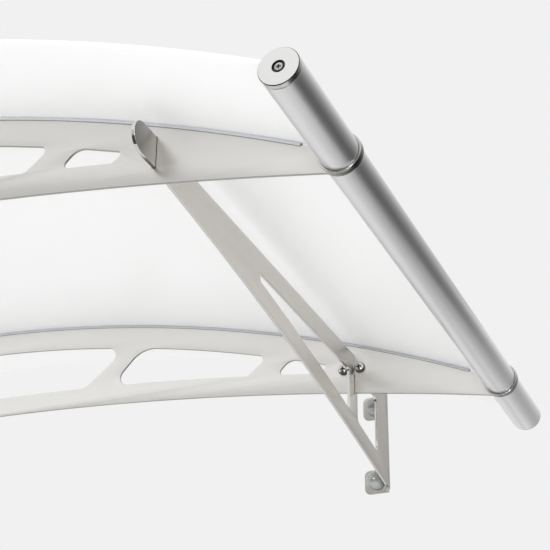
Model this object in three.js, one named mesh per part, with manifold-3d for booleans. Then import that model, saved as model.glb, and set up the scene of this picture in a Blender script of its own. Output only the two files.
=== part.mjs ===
// Curved door canopy: an arched frosted sheet on two laser-cut cross beams, held by a round tube
// at each end and by two flat brackets that bolt to the wall.
//
// Millimetres, +Z up. The wall is the plane y = 0 and the canopy reaches out towards -Y.
// The origin lies on the wall, midway between the tubes, at the height of the tubes' axes.

import * as THREE from 'three';
import { mergeVertices } from 'three/addons/utils/BufferGeometryUtils.js';
import Module from 'manifold-3d';

const wasm = await Module();
wasm.setup();

// Driving sizes of the whole canopy
const CANOPY_WIDTH = 2000; // over the outsides of the two tubes
const CANOPY_DEPTH = 900; // from the wall to the front ends of the tubes
const ARCH_RISE = 220.5; // top edge of a beam at mid span, above the tubes' axes
const LOWER_RISE = 72; // lower edge of a beam at mid span, above the tubes' axes
const FIT = 0.3; // clearance between pieces that slide into each other

// Tubes
const TUBE_RADIUS = 21.2;
const TUBE_WALL = 2.5;
const ROUND_STEPS = 32; // facets round a tube or a collar
const SMALL_STEPS = 18; // facets round a fastener

// Cross beams
const BEAM_THICKNESS = 3;
const REAR_BEAM_REACH = 144; // wall to the front face of the rear beam
const FRONT_BEAM_REACH = 751.5; // wall to the front face of the front beam
const SLOT_TOP_MARGIN = 36; // metal left above the slots, measured from the beam's top edge
const SLOT_LOWER_MARGIN = 30.5; // metal left below the slots
const CENTRE_WEB = 40; // metal between the two long slots at mid span
const WEB_CORNER = 16; // corner radius of the long slots beside the centre web
// The slanted ends of the slots in one half of a beam, from mid span outwards: each has the distances
// of its lower and upper corner from the tube's axis, and the radii of its sharp and its wide corner.
const LONG_SLOT_FAR = { lower: 659.3, upper: 586.8, sharp: 14.4, wide: 23 };
const MIDDLE_SLOT_NEAR = { lower: 611.8, upper: 560.3, sharp: 14, wide: 45 };
const MIDDLE_SLOT_FAR = { lower: 377.8, upper: 345.8, sharp: 7, wide: 11 };
const SMALL_SLOT_NEAR = { lower: 331.8, upper: 310.8, sharp: 5.5, wide: 20 };
const SMALL_SLOT_FAR = { lower: 264.8, upper: 249.8, sharp: 4, wide: 5 };

// Ring collars, welded to the ends of the beams
const COLLAR_WALL = 2.2;
const COLLAR_LENGTH = 9;
const COLLAR_PROUD = 1; // how far a collar stands in front of its beam
const COLLAR_CHAMFER = 0.7;
const COLLAR_SLIT_ROOM = 1; // clearance above and below the sheet where it passes a collar

// Roof sheet and the rubber strips that it rests on
const SHEET_THICKNESS = 5;
const SHEET_GRIP = 12; // how far the sheet's edge reaches past the outside of a tube
const TUBE_SLIT_ROOM = 0.5; // clearance above and below the sheet in a tube's slit
const SHEET_END_ROOM = 0.5; // clearance at the sheet's front and rear edges
const SEAL_CROWN = 2.5; // rubber above the beam's top edge
const SEAL_LIP = 1.8; // depth of the lips that hang over the beam's faces
const SEAL_SIDE = 1.5; // thickness of a lip
const SEAL_STOP = 42; // distance from a tube's axis to the end of a strip

// Wall brackets
const PLATE = 4; // thickness of the bracket's plate
const BRACKET_INSET = 209.9; // tube's axis to the outer face of the bracket
const ARM_TOP = 72.2; // height of the bracket's top edge
const ARM_WIDTH = 28.9; // depth of the top arm
const NOSE_BOTTOM = 33.5; // height of the lower edge where it passes the front beam
const NOSE_REACH = 48.8; // front beam's face to the tip of the nose
const FOOT = -83.4; // height of the lower edge at the wall
const LOWER_EDGE_BULGE = 14; // rise of the lower edge above a straight line
const RIB_WIDTH = 27.3; // width of the diagonal rib
const STRIP_FRONT = 20.5; // metal of the upright strip in front of the rear beam
const STRIP_WIDTH = 31; // whole width of the upright strip
const LEG_WIDTH = 50; // width of the leg on the wall
const LONG_GAP_TIP = 11.9; // height of the long opening's blunt front end
const LONG_GAP_RADIUS = 5;
const SHORT_GAP_RADIUS = 9;
const LAP_HEIGHT = 42; // height at which the rear beam and the bracket's plate interlock

// Folded tabs that lie on the wall
const TAB_LENGTH = 34; // from the plate's inner face
const TAB_HEIGHT = 36;
const TAB_CORNER = 8;
const BEND_INSIDE = 1;
const BEND_RELIEF = 2;
const TAB_LEVELS = { upper: 46.7, lower: -70.2 }; // heights of the bolts

// Cleat that takes the beam screws, welded across the bracket's upright strip
const CLEAT = { width: 48, height: 36, thickness: 4 };
const BEAM_SCREW_SPACING = 25;
const BEAM_SCREW_SHIFT = 2; // pair of screws, from the plate's middle towards mid span
const BEAM_SCREW_LEVEL = 51;

// Fasteners
const BEAM_SCREW = { headRadius: 7.6, headHeight: 5.4, rim: 1.6, shankRadius: 4, length: 20, recess: 5.6 };
const BEAM_NUT = { acrossFlats: 13, height: 6.5 };
const BOLT_HOLE_RADIUS = 5.5;
const BOLT_OFFSET = 15; // plate's inner face to the bolt's axis
const WASHER = { radius: 12.5, thickness: 2 };
const WALL_NUT = { acrossFlats: 16, height: 8 };
const NUT_COVER = { radius: 13.2, height: 18, wall: 1.2, rim: 2.4 };

// Tube ends
const CAP = { thickness: 6.3, chamfer: 0.6, sinkRadius: 6.6, sinkDepth: 2.6, holeRadius: 2.3 };
const CAP_SCREW = { headRadius: 4.7, sunk: 0.3, shankRadius: 2, length: 22, recess: 4.4 };
const INSERT_LENGTH = 26;
const PLUG = { flange: 2, depth: 12, wall: 2.4 };

// Values that follow from the driving sizes
const halfSpan = CANOPY_WIDTH / 2 - TUBE_RADIUS;
const boreRadius = TUBE_RADIUS - TUBE_WALL;
const collarBore = TUBE_RADIUS + FIT;
const collarOuter = collarBore + COLLAR_WALL;
// The top edge of a beam is an arc whose ends meet the tubes' axes.
const topRadius = (halfSpan ** 2 + ARCH_RISE ** 2) / (2 * ARCH_RISE);
// The lower edge is an arc that runs smoothly into the underside of the collars.
const lowerRadius = (halfSpan ** 2 + LOWER_RISE ** 2 - collarOuter ** 2) / (2 * (LOWER_RISE + collarOuter));
const sheetEnd = halfSpan - TUBE_RADIUS + SHEET_GRIP;
const plateInner = halfSpan - BRACKET_INSET - PLATE;
const plateOuter = plateInner + PLATE;
const plateMiddle = plateInner + PLATE / 2;
const screwPairX = plateMiddle - BEAM_SCREW_SHIFT;
const bendOutside = BEND_INSIDE + PLATE;
const boltX = plateInner - BOLT_OFFSET;

// Finishes
const steel = { color: 0xd7d4ce, metalness: 1, roughness: 0.32 };
const aluminium = { color: 0xc9cacc, metalness: 1, roughness: 0.38 };
const chrome = { color: 0xd8d8d8, metalness: 1, roughness: 0.15 };
const frosted = { color: 0xf4f5f6, metalness: 0, roughness: 0.35 };
const rubber = { color: 0x8f949b, metalness: 0, roughness: 0.7 };
const greyPlastic = { color: 0x98a09f, metalness: 0, roughness: 0.3 };

// Surfaces and solids

// Merges the vertices of a geometry, drops collapsed triangles and turns the faces outwards.
function weld(geometry) {
  const bare = new THREE.BufferGeometry();
  bare.setAttribute('position', geometry.getAttribute('position').clone());
  if (geometry.index) bare.setIndex(geometry.index.clone());
  const merged = mergeVertices(bare, 1e-4);
  const kept = [];
  for (let i = 0; i < merged.index.count; i += 3) {
    const corner = [merged.index.getX(i), merged.index.getX(i + 1), merged.index.getX(i + 2)];
    if (new Set(corner).size === 3) kept.push(...corner);
  }
  merged.setIndex(signedVolume(merged, kept) < 0 ? kept.reverse() : kept);
  return merged;
}

// Volume enclosed by the triangles, negative where they face inwards.
function signedVolume(geometry, index) {
  const position = geometry.getAttribute('position');
  const [a, b, c] = [new THREE.Vector3(), new THREE.Vector3(), new THREE.Vector3()];
  let volume = 0;
  for (let i = 0; i < index.length; i += 3) {
    a.fromBufferAttribute(position, index[i]);
    b.fromBufferAttribute(position, index[i + 1]);
    c.fromBufferAttribute(position, index[i + 2]);
    volume += a.dot(b.cross(c)) / 6;
  }
  return volume;
}

function solidOf(geometry) {
  const welded = weld(geometry);
  return new wasm.Manifold(new wasm.Mesh({
    numProp: 3,
    vertProperties: new Float32Array(welded.getAttribute('position').array),
    triVerts: new Uint32Array(welded.index.array),
  }));
}

function geometryOf(solid) {
  const mesh = solid.getMesh();
  const geometry = new THREE.BufferGeometry();
  geometry.setAttribute('position', new THREE.BufferAttribute(new Float32Array(mesh.vertProperties), 3));
  geometry.setIndex(new THREE.BufferAttribute(new Uint32Array(mesh.triVerts), 1));
  geometry.computeVertexNormals();
  return geometry;
}

// Joins and cuts: the first list is added up, and the second is taken away from it.
function carve(added, removed) {
  const sum = added.map(solidOf).reduce((a, b) => a.add(b));
  return geometryOf(removed.map(solidOf).reduce((a, b) => a.subtract(b), sum));
}

function mirrored(geometry) {
  const copy = geometry.clone();
  copy.scale(-1, 1, 1);
  return weld(copy);
}

function extruded(shape, depth, curveSegments) {
  return new THREE.ExtrudeGeometry(shape, { depth, bevelEnabled: false, curveSegments });
}

// A front-view outline (x, z) given a thickness towards the wall, from y = 0.
function plateAcross(shape, thickness, curveSegments = 3) {
  const geometry = extruded(shape, thickness, curveSegments);
  geometry.rotateX(Math.PI / 2);
  geometry.translate(0, thickness, 0);
  return geometry;
}

// A side-view outline (y, z) given a thickness along X, from x = 0.
function plateSideways(shape, thickness, curveSegments = 3) {
  const geometry = extruded(shape, thickness, curveSegments);
  const turn = new THREE.Matrix4().makeBasis(
    new THREE.Vector3(0, 1, 0), new THREE.Vector3(0, 0, 1), new THREE.Vector3(1, 0, 0));
  geometry.applyMatrix4(turn);
  return geometry;
}

// A profile of [radius, y] pairs turned round the Y axis.
function turned(profile, steps = ROUND_STEPS) {
  return new THREE.LatheGeometry(profile.map(([radius, y]) => new THREE.Vector2(radius, y)), steps);
}

function block(x0, x1, y0, y1, z0, z1) {
  const geometry = new THREE.BoxGeometry(x1 - x0, y1 - y0, z1 - z0);
  geometry.translate((x0 + x1) / 2, (y0 + y1) / 2, (z0 + z1) / 2);
  return geometry;
}

function hexagon(acrossFlats) {
  const corner = acrossFlats / Math.sqrt(3);
  const shape = new THREE.Shape();
  for (let i = 0; i < 6; i += 1) {
    const angle = (i * Math.PI) / 3;
    if (i === 0) shape.moveTo(corner, 0);
    else shape.lineTo(corner * Math.cos(angle), corner * Math.sin(angle));
  }
  shape.closePath();
  return shape;
}

function circleHole(shape, x, z, radius) {
  const hole = new THREE.Path();
  hole.absarc(x, z, radius, 0, 2 * Math.PI, false);
  shape.holes.push(hole);
}

// Outlines

// Closes an outline through the given [x, y, radius] corners, with an arc at each rounded corner.
function roundedOutline(corners) {
  const path = new THREE.Shape();
  corners.forEach(([x, y, radius], i) => {
    const before = corners[(i + corners.length - 1) % corners.length];
    const after = corners[(i + 1) % corners.length];
    if (!radius) {
      if (i === 0) path.moveTo(x, y);
      else path.lineTo(x, y);
      return;
    }
    const point = new THREE.Vector2(x, y);
    const back = new THREE.Vector2(before[0], before[1]).sub(point).normalize();
    const ahead = new THREE.Vector2(after[0], after[1]).sub(point).normalize();
    const half = Math.acos(back.dot(ahead)) / 2;
    const middle = back.clone().add(ahead).normalize();
    const centre = point.clone().addScaledVector(middle, radius / Math.sin(half));
    const start = point.clone().addScaledVector(back, radius / Math.tan(half)).sub(centre);
    const end = point.clone().addScaledVector(ahead, radius / Math.tan(half)).sub(centre);
    const clockwise = back.cross(ahead) > 0;
    if (i === 0) path.moveTo(centre.x + start.x, centre.y + start.y);
    path.absarc(centre.x, centre.y, radius, start.angle(), end.angle(), clockwise);
  });
  path.closePath();
  return path;
}

// Height above the tubes' axes of an arc with its crown at mid span.
const heightOn = (radius, crown, x) => crown - radius + Math.sqrt(radius ** 2 - x ** 2);
const onTopArc = (x, offset = 0) => heightOn(topRadius + offset, ARCH_RISE + offset, x);
const onLowerArc = (x, offset = 0) => heightOn(lowerRadius + offset, LOWER_RISE + offset, x);

// Adds an arc with its crown at mid span, in short stretches, from one x to another.
function addArch(path, radius, crown, fromX, toX, stretches = 6) {
  for (let i = 0; i < stretches; i += 1) {
    const start = Math.acos(THREE.MathUtils.lerp(fromX, toX, i / stretches) / radius);
    const end = Math.acos(THREE.MathUtils.lerp(fromX, toX, (i + 1) / stretches) / radius);
    path.absarc(0, crown - radius, radius, start, end, toX > fromX);
  }
}

// A band that follows the beams' top edge, between two offsets from it.
function archBand(innerOffset, outerOffset, fromX, toX, stretches = 6) {
  const shape = new THREE.Shape();
  addArch(shape, topRadius + outerOffset, ARCH_RISE + outerOffset, fromX, toX, stretches);
  addArch(shape, topRadius + innerOffset, ARCH_RISE + innerOffset, toX, fromX, stretches);
  shape.closePath();
  return shape;
}

// Slanted end of a slot, with its corners as distances from mid span
const slantedEnd = ({ lower, upper, sharp, wide }) =>
  ({ lower: halfSpan - lower, upper: halfSpan - upper, sharp, wide });

const uprightEnd = (x, corner) => ({ lower: x, upper: x, sharp: corner, wide: corner });

const SLOTS = [
  [uprightEnd(CENTRE_WEB / 2, WEB_CORNER), slantedEnd(LONG_SLOT_FAR)],
  [slantedEnd(MIDDLE_SLOT_NEAR), slantedEnd(MIDDLE_SLOT_FAR)],
  [slantedEnd(SMALL_SLOT_NEAR), slantedEnd(SMALL_SLOT_FAR)],
];

// Slot between the two margins of a beam. side is 1 for the right half and -1 for the left.
function beamSlot([near, far], side) {
  const quarters = [0.25, 0.5, 0.75];
  const along = (from, to) => quarters.map((share) => THREE.MathUtils.lerp(from, to, share));
  const lower = (x, radius = 0) => [side * x, onLowerArc(x, SLOT_LOWER_MARGIN), radius];
  const upper = (x, radius = 0) => [side * x, onTopArc(x, -SLOT_TOP_MARGIN), radius];
  return roundedOutline([
    lower(near.lower, near.sharp),
    ...along(near.lower, far.lower).map((x) => lower(x)),
    lower(far.lower, far.wide),
    upper(far.upper, far.sharp),
    ...along(far.upper, near.upper).map((x) => upper(x)),
    upper(near.upper, near.wide),
  ]);
}

// Cross beams

function beamOutline() {
  const tangentShare = lowerRadius / (lowerRadius + collarOuter);
  const tangentX = halfSpan * tangentShare;
  const shape = new THREE.Shape();
  addArch(shape, topRadius, ARCH_RISE, -halfSpan, halfSpan);
  shape.lineTo(tangentX, onLowerArc(tangentX));
  addArch(shape, lowerRadius, LOWER_RISE, tangentX, -tangentX);
  shape.closePath();
  return shape;
}

function collarRing() {
  const inner = collarBore - FIT;
  const front = -COLLAR_PROUD;
  const back = front + COLLAR_LENGTH;
  return turned([
    [inner, front], [collarOuter - COLLAR_CHAMFER, front], [collarOuter, front + COLLAR_CHAMFER],
    [collarOuter, back - COLLAR_CHAMFER], [collarOuter - COLLAR_CHAMFER, back],
    [inner, back], [inner, front],
  ]);
}

function cylinderAlongY(radius, y0, y1, steps = ROUND_STEPS) {
  return turned([[0, y0], [radius, y0], [radius, y1], [0, y1]], steps);
}

// Room for the sheet's edge where it enters a tube or a collar. side is 1 for right, -1 for left.
function sheetRoom(room, y0, y1, side = 1) {
  const band = archBand(
    SEAL_CROWN + FIT - room, SEAL_CROWN + FIT + SHEET_THICKNESS + room,
    side * (halfSpan - 2 * TUBE_RADIUS), side * (sheetEnd + room), 1);
  const geometry = plateAcross(band, y1 - y0);
  geometry.translate(0, y0, 0);
  return geometry;
}

// Upright cut for the bracket's plate through the front beam
function noseCut(side) {
  const x = side * plateMiddle;
  const half = PLATE / 2 + FIT;
  return block(x - half, x + half, -1, BEAM_THICKNESS + 1, NOSE_BOTTOM - FIT, ARM_TOP + FIT);
}

// Upright cut from the rear beam's lower edge, which drops over the bracket's plate
function lapCut(side) {
  const x = side * plateMiddle;
  const half = PLATE / 2 + FIT;
  return block(x - half, x + half, -1, BEAM_THICKNESS + 1, -collarOuter, LAP_HEIGHT);
}

function screwHoles(side, radius, y0, y1) {
  return [-1, 1].map((end) => {
    const hole = cylinderAlongY(radius, y0, y1, SMALL_STEPS);
    hole.translate(side * screwPairX + (end * BEAM_SCREW_SPACING) / 2, 0, BEAM_SCREW_LEVEL);
    return hole;
  });
}

function cutter(geometry) {
  geometry.translate(0, -1, 0);
  return geometry;
}

// One beam with its collars, its front face at y = 0. cuts gives the openings of one side.
function beam(cuts) {
  const added = [plateAcross(beamOutline(), BEAM_THICKNESS)];
  const removed = [];
  for (const side of [-1, 1]) {
    removed.push(...SLOTS.map((slot) => cutter(plateAcross(beamSlot(slot, side), BEAM_THICKNESS + 2))));
    const front = -COLLAR_PROUD - 1;
    const back = COLLAR_LENGTH + 1;
    const ring = collarRing();
    const bore = cylinderAlongY(collarBore, front, back);
    ring.translate(side * halfSpan, 0, 0);
    bore.translate(side * halfSpan, 0, 0);
    added.push(ring);
    removed.push(bore, sheetRoom(COLLAR_SLIT_ROOM, front, back, side), ...cuts(side));
  }
  return carve(added, removed);
}

// Sheet and seals

function sheet() {
  const depth = CANOPY_DEPTH - 2 * SHEET_END_ROOM - PLUG.flange;
  const band = archBand(SEAL_CROWN + FIT, SEAL_CROWN + FIT + SHEET_THICKNESS, -sheetEnd, sheetEnd);
  return plateAcross(band, depth);
}

// Rubber strip with a groove that grips the beam's top edge
function seal() {
  const end = halfSpan - SEAL_STOP;
  const width = BEAM_THICKNESS + 2 * SEAL_SIDE;
  const body = plateAcross(archBand(-SEAL_LIP, SEAL_CROWN, -end, end), width);
  const groove = plateAcross(archBand(-SEAL_LIP - 1, FIT, -end - 5, end + 5), BEAM_THICKNESS);
  groove.translate(0, SEAL_SIDE, 0);
  return carve([body], [groove]);
}

// Brackets

// Circle through two points that bulges upwards by a given rise at its middle.
function bulgedArc([y0, z0], [y1, z1], bulge) {
  const chord = Math.hypot(y1 - y0, z1 - z0);
  const radius = (chord ** 2 / 4 + bulge ** 2) / (2 * bulge);
  const fall = radius - bulge;
  const across = [(y1 - y0) / chord, (z1 - z0) / chord];
  const centre = [(y0 + y1) / 2 + across[1] * fall, (z0 + z1) / 2 - across[0] * fall];
  const heightAt = (y, offset = 0) => centre[1] + Math.sqrt((radius + offset) ** 2 - (y - centre[0]) ** 2);
  const reachAt = (z, offset = 0) => centre[0] + Math.sqrt((radius + offset) ** 2 - (z - centre[1]) ** 2);
  return { centre, radius, heightAt, reachAt };
}

const beamBack = -FRONT_BEAM_REACH + BEAM_THICKNESS;
const bracketLower = bulgedArc([beamBack, NOSE_BOTTOM], [0, FOOT], LOWER_EDGE_BULGE);
const stripFront = -REAR_BEAM_REACH - STRIP_FRONT;
const stripBack = stripFront + STRIP_WIDTH;
const underArm = ARM_TOP - ARM_WIDTH;
const longGapFront = bracketLower.reachAt(underArm - LONG_GAP_TIP, RIB_WIDTH);

// Points of the rib's upper edge from one y to another, without the ends.
function ribEdge(fromY, toY, count) {
  return Array.from({ length: count }, (_, i) => {
    const y = THREE.MathUtils.lerp(fromY, toY, (i + 1) / (count + 1));
    return [y, bracketLower.heightAt(y, RIB_WIDTH), 0];
  });
}

function gapBetween(frontY, backY, radius, count) {
  return roundedOutline([
    [frontY, underArm, radius],
    [frontY, bracketLower.heightAt(frontY, RIB_WIDTH), radius],
    ...ribEdge(frontY, backY, count),
    [backY, bracketLower.heightAt(backY, RIB_WIDTH), radius],
    [backY, underArm, radius],
  ]);
}

function bracketOutline() {
  const noseRadius = (ARM_TOP - NOSE_BOTTOM) / 2;
  const noseCentre = -FRONT_BEAM_REACH - NOSE_REACH + noseRadius;
  const { centre, radius } = bracketLower;
  const angleAt = (y) => Math.acos((y - centre[0]) / radius);
  const shape = new THREE.Shape();
  shape.moveTo(0, ARM_TOP);
  shape.lineTo(noseCentre, ARM_TOP);
  shape.absarc(noseCentre, NOSE_BOTTOM + noseRadius, noseRadius, Math.PI / 2, (3 * Math.PI) / 2, false);
  shape.absarc(centre[0], centre[1], radius, angleAt(beamBack), angleAt(beamBack / 2), true);
  shape.absarc(centre[0], centre[1], radius, angleAt(beamBack / 2), angleAt(0), true);
  shape.closePath();
  return shape;
}

// Tab folded from the leg: the plate turns through a round bend and lies on the wall.
function foldedTab(level) {
  const bottom = level - TAB_HEIGHT / 2;
  const farEnd = plateInner - TAB_LENGTH;
  const rootY = -bendOutside - 1;
  const section = new THREE.Shape();
  section.moveTo(plateOuter, rootY);
  section.lineTo(plateOuter, -bendOutside);
  section.absarc(plateOuter - bendOutside, -bendOutside, bendOutside, 0, Math.PI / 2, false);
  section.lineTo(farEnd, 0);
  section.lineTo(farEnd, -PLATE);
  section.absarc(plateOuter - bendOutside, -bendOutside, BEND_INSIDE, Math.PI / 2, 0, true);
  section.lineTo(plateInner, rootY);
  section.closePath();
  const fold = extruded(section, TAB_HEIGHT, 5);
  fold.translate(0, 0, bottom);
  const outline = roundedOutline([
    [farEnd, bottom, TAB_CORNER], [plateOuter + 1, bottom, 0],
    [plateOuter + 1, bottom + TAB_HEIGHT, 0], [farEnd, bottom + TAB_HEIGHT, TAB_CORNER],
  ]);
  circleHole(outline, boltX, level, BOLT_HOLE_RADIUS);
  const trim = plateAcross(outline, -rootY + 2);
  trim.translate(0, rootY - 1, 0);
  return geometryOf(solidOf(fold).intersect(solidOf(trim)));
}

// Room behind the plate where a tab is folded over
function tabRoom(level) {
  const half = TAB_HEIGHT / 2 + BEND_RELIEF;
  return block(plateInner - 1, plateOuter + 1, -bendOutside, 1, level - half, level + half);
}

function cleat() {
  const front = -REAR_BEAM_REACH + BEAM_THICKNESS + FIT;
  const middle = BEAM_SCREW_LEVEL;
  return block(
    plateMiddle - CLEAT.width / 2, plateMiddle + CLEAT.width / 2, front, front + CLEAT.thickness,
    middle - CLEAT.height / 2, middle + CLEAT.height / 2);
}

// Right-hand bracket in the canopy's own frame
function bracket() {
  const plate = plateSideways(bracketOutline(), PLATE);
  plate.translate(plateInner, 0, 0);
  const gaps = [
    gapBetween(longGapFront, stripFront, LONG_GAP_RADIUS, 9),
    gapBetween(stripBack, -LEG_WIDTH, SHORT_GAP_RADIUS, 1),
  ].map((outline) => plateSideways(outline, PLATE + 2));
  for (const gap of gaps) gap.translate(plateInner - 1, 0, 0);
  const levels = Object.values(TAB_LEVELS);
  const trimmed = carve([plate], [...gaps, ...levels.map(tabRoom)]);
  const lap = block(
    plateInner - 1, plateOuter + 1, -REAR_BEAM_REACH - FIT, -REAR_BEAM_REACH + BEAM_THICKNESS + FIT,
    LAP_HEIGHT - FIT, ARM_TOP + 1);
  const holes = screwHoles(1, BEAM_SCREW.shankRadius + FIT, -REAR_BEAM_REACH - 1, -REAR_BEAM_REACH + 20);
  return carve([trimmed, cleat(), ...levels.map(foldedTab)], [lap, ...holes]);
}

// Tube ends

function tube() {
  const length = CANOPY_DEPTH - PLUG.flange;
  const pipe = turned([
    [boreRadius, 0], [TUBE_RADIUS, 0], [TUBE_RADIUS, length], [boreRadius, length], [boreRadius, 0],
  ]);
  pipe.translate(halfSpan, 0, 0);
  return carve([pipe], [sheetRoom(TUBE_SLIT_ROOM, -1, length + 1)]);
}

function frontInsert() {
  const outer = boreRadius - FIT;
  const ring = turned([
    [CAP.holeRadius, 0], [outer, 0], [outer, INSERT_LENGTH],
    [CAP.holeRadius, INSERT_LENGTH], [CAP.holeRadius, 0],
  ]);
  ring.translate(halfSpan, 0, 0);
  return carve([ring], [sheetRoom(COLLAR_SLIT_ROOM, -1, INSERT_LENGTH + 1)]);
}

function frontCap() {
  const front = -CAP.thickness;
  const sinkFloor = front + CAP.sinkDepth;
  return turned([
    [CAP.holeRadius, 0], [TUBE_RADIUS, 0], [TUBE_RADIUS, front + CAP.chamfer],
    [TUBE_RADIUS - CAP.chamfer, front], [CAP.sinkRadius, front], [CAP.sinkRadius, sinkFloor],
    [CAP.holeRadius, sinkFloor],
    [CAP.holeRadius, 0],
  ]);
}

// Two crossed grooves for a screwdriver, cut down from y = top
function crossRecess(size, top, depth) {
  const half = size / 2;
  const groove = size / 10;
  return [
    block(-half, half, top - 1, top + depth, -groove, groove),
    block(-groove, groove, top - 1, top + depth, -half, half),
  ];
}

function capScrew() {
  const top = -CAP.thickness + CAP_SCREW.sunk;
  const neck = -CAP.thickness + CAP.sinkDepth;
  const body = turned([
    [0, top], [CAP_SCREW.headRadius, top], [CAP_SCREW.headRadius, neck], [CAP_SCREW.shankRadius, neck],
    [CAP_SCREW.shankRadius, top + CAP_SCREW.length], [0, top + CAP_SCREW.length],
  ], SMALL_STEPS);
  return carve([body], crossRecess(CAP_SCREW.recess, top, 1));
}

function wallPlug() {
  const outer = boreRadius - FIT;
  const inner = outer - PLUG.wall;
  const front = -PLUG.flange;
  const end = front - PLUG.depth;
  const body = turned([
    [0, 0], [TUBE_RADIUS, 0], [TUBE_RADIUS, front], [outer, front], [outer, end], [inner, end],
    [inner, front], [0, front],
  ]);
  body.translate(halfSpan, 0, 0);
  return carve([body], [sheetRoom(COLLAR_SLIT_ROOM, end - 1, front)]);
}

// Fasteners, each standing on y = 0 and rising towards -Y

function beamScrew() {
  const { headRadius, headHeight, rim, shankRadius, length, recess } = BEAM_SCREW;
  const dome = Array.from({ length: 5 }, (_, i) => {
    const angle = (i * Math.PI) / 8;
    return [headRadius * Math.cos(angle), -rim - (headHeight - rim) * Math.sin(angle)];
  });
  const body = turned([
    [0, length], [shankRadius, length], [shankRadius, 0], [headRadius, 0], ...dome,
  ], SMALL_STEPS);
  return carve([body], crossRecess(recess, -headHeight, 2.6));
}

function hexNut({ acrossFlats, height }, boreSize) {
  const shape = hexagon(acrossFlats);
  circleHole(shape, 0, 0, boreSize);
  return plateAcross(shape, height, 6);
}

function washer() {
  const { radius, thickness } = WASHER;
  return turned([
    [BOLT_HOLE_RADIUS, 0], [radius, 0], [radius, -thickness], [BOLT_HOLE_RADIUS, -thickness],
    [BOLT_HOLE_RADIUS, 0],
  ], SMALL_STEPS);
}

// Hollow domed cover that sits over the wall nut
function nutCover() {
  const { radius, height, wall, rim } = NUT_COVER;
  const cavity = WALL_NUT.acrossFlats / Math.sqrt(3) + FIT;
  const roof = WALL_NUT.height + FIT;
  const dome = Array.from({ length: 6 }, (_, i) => {
    const angle = (i * Math.PI) / 10;
    return [(radius - wall / 2) * Math.cos(angle), -rim - (height - rim) * Math.sin(angle)];
  });
  dome[dome.length - 1][0] = 0;
  return turned([
    [cavity, 0], [radius, 0], [radius, -rim], ...dome, [0, -roof], [cavity, -roof], [cavity, 0],
  ].reverse(), SMALL_STEPS);
}

// Assembly

const canopy = new THREE.Group();

function place(name, geometry, finish, x = 0, y = 0, z = 0) {
  const mesh = new THREE.Mesh(weld(geometry), new THREE.MeshStandardMaterial(finish));
  mesh.name = name;
  mesh.position.set(x, y, z);
  canopy.add(mesh);
}

// Places a piece on the right and its mirror image on the left.
function placePair(name, geometry, finish, x = 0, y = 0, z = 0) {
  place(`${name}_right`, geometry, finish, x, y, z);
  place(`${name}_left`, mirrored(geometry), finish, -x, y, z);
}

const frontEnd = -CANOPY_DEPTH;
const rearFace = -REAR_BEAM_REACH;
const frontFace = -FRONT_BEAM_REACH;

place('acrylic_sheet', sheet(), frosted, 0, frontEnd + SHEET_END_ROOM, 0);
place('front_beam', beam((side) => [noseCut(side)]), steel, 0, frontFace, 0);
place('rear_beam', beam((side) => [
  lapCut(side), ...screwHoles(side, BEAM_SCREW.shankRadius + FIT, -1, BEAM_THICKNESS + 1),
]), steel, 0, rearFace, 0);
place('front_seal', seal(), rubber, 0, frontFace - SEAL_SIDE, 0);
place('rear_seal', seal(), rubber, 0, rearFace - SEAL_SIDE, 0);

placePair('side_tube', tube(), aluminium, 0, frontEnd, 0);
placePair('cap_insert', frontInsert(), aluminium, 0, frontEnd, 0);
placePair('front_cap', frontCap(), steel, halfSpan, frontEnd, 0);
placePair('cap_screw', capScrew(), chrome, halfSpan, frontEnd, 0);
placePair('wall_plug', wallPlug(), greyPlastic, 0, 0, 0);
placePair('bracket', bracket(), steel);

const nutFace = rearFace + BEAM_THICKNESS + FIT + CLEAT.thickness;
for (const [position, end] of [['inner', -1], ['outer', 1]]) {
  const x = screwPairX + (end * BEAM_SCREW_SPACING) / 2;
  placePair(`${position}_beam_screw`, beamScrew(), chrome, x, rearFace, BEAM_SCREW_LEVEL);
  const nut = hexNut(BEAM_NUT, BEAM_SCREW.shankRadius + FIT);
  placePair(`${position}_beam_nut`, nut, chrome, x, nutFace, BEAM_SCREW_LEVEL);
}

const washerFace = -PLATE - WASHER.thickness;
for (const [position, level] of Object.entries(TAB_LEVELS)) {
  placePair(`${position}_wall_washer`, washer(), chrome, boltX, -PLATE, level);
  const nut = hexNut(WALL_NUT, BOLT_HOLE_RADIUS - 2 * FIT);
  placePair(`${position}_wall_nut`, nut, chrome, boltX, washerFace - WALL_NUT.height, level);
  placePair(`${position}_nut_cover`, nutCover(), greyPlastic, boltX, washerFace, level);
}

export default canopy;
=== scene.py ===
# %% [markdown]
# # A curved door canopy
#
# This lesson dresses a imported CAD model of a door canopy: an arched sheet of frosted acrylic rests on
# two laser-cut steel cross beams, a round tube grips each end of the sheet, and two flat brackets bolt
# the whole to a wall. The CAD gives every size, so nothing is fitted by eye: X runs along the wall, Y
# runs into the wall, Z is up, and one unit is a metre.
#
# The first cell loads the frame.

# %% Load the frame
import math

import bpy
import numpy as np
from mathutils import Matrix, Vector
from mathutils.geometry import tessellate_polygon


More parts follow.
